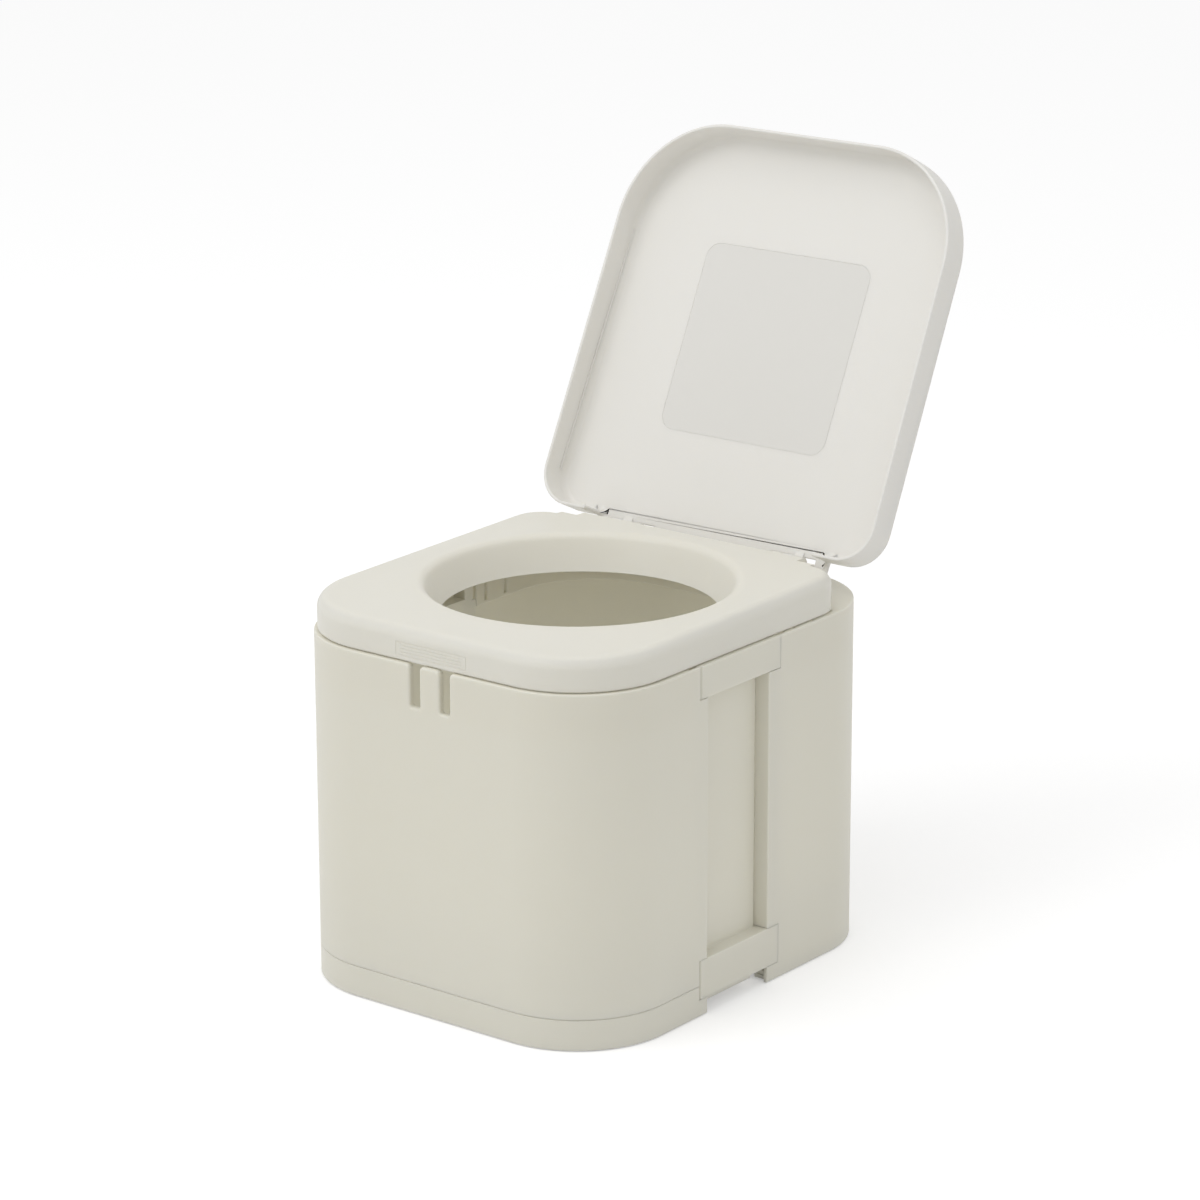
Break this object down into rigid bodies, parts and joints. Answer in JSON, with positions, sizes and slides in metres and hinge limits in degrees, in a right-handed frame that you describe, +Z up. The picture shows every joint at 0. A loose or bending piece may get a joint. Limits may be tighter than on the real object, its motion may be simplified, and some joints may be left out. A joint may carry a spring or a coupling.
{
  "type": "folding camping toilet",
  "caption": "Portable folding toilet: rounded plastic body that slides shut, seat with a round hole and a hinged tray lid.",
  "frame": {"origin": "middle of the footprint on the floor, with the lid standing open", "axes": "+X to the user's left side when seated, across the width; +Y from the front to the hinge side; +Z up"},
  "size_m": [0.3114, 0.4758, 0.581],
  "materials": {
    "shell_plastic": "finely grained moulded plastic, warm grey",
    "seat_plastic": "finely grained moulded plastic, warm white",
    "hinge_plastic": "smooth moulded plastic, warm grey",
    "steel": "plain turned steel",
    "foot_rubber": "soft matt rubber"
  },
  "bodies": {
    "rear": {"rear_shell": "shell_plastic", "rear_floor": "shell_plastic", "slide_stop_pins": "steel", "floor_screws": "steel", "right_brace_pins": "steel", "left_brace_pins": "steel", "right_hinge_bracket": "hinge_plastic", "left_hinge_bracket": "hinge_plastic", "right_hinge_pin": "steel", "left_hinge_pin": "steel", "bracket_screws": "steel", "rear_right_foot": "foot_rubber", "rear_left_foot": "foot_rubber"},
    "front": {"front_shell": "shell_plastic", "front_base": "shell_plastic", "base_screws": "steel", "front_right_foot": "foot_rubber", "front_left_foot": "foot_rubber"},
    "right_brace": {"right_side_brace": "shell_plastic"},
    "left_brace": {"left_side_brace": "shell_plastic"},
    "seat": {"seat": "seat_plastic"},
    "lid": {"lid": "seat_plastic"}
  },
  "joints": [
    {"name": "front_slide", "type": "slide", "parent": "rear", "child": "front", "axis": [0, 1, 0], "range_m": [0, 0.0735]},
    {"name": "right_brace_fold", "type": "hinge", "parent": "rear", "child": "right_brace", "pos_m": [0.143, -0.02687, 0.1426], "axis": [0, 0, -1], "range_deg": [0, 90.5]},
    {"name": "left_brace_fold", "type": "hinge", "parent": "rear", "child": "left_brace", "pos_m": [-0.143, -0.02687, 0.1426], "axis": [0, 0, 1], "range_deg": [0, 90.5]},
    {"name": "seat_hinge", "type": "hinge", "parent": "rear", "child": "seat", "pos_m": [0, 0.08393, 0.2842], "axis": [-1, 0, 0], "range_deg": [0, 62]},
    {"name": "lid_hinge", "type": "hinge", "parent": "seat", "child": "lid", "pos_m": [0, 0.08393, 0.2842], "axis": [1, 0, 0], "range_deg": [0, 116]}
  ],
  "couplings": [
    {"joint": "right_brace_fold", "follows": "front_slide", "rad_per_m": 21.36},
    {"joint": "left_brace_fold", "follows": "front_slide", "rad_per_m": 21.36}
  ]
}
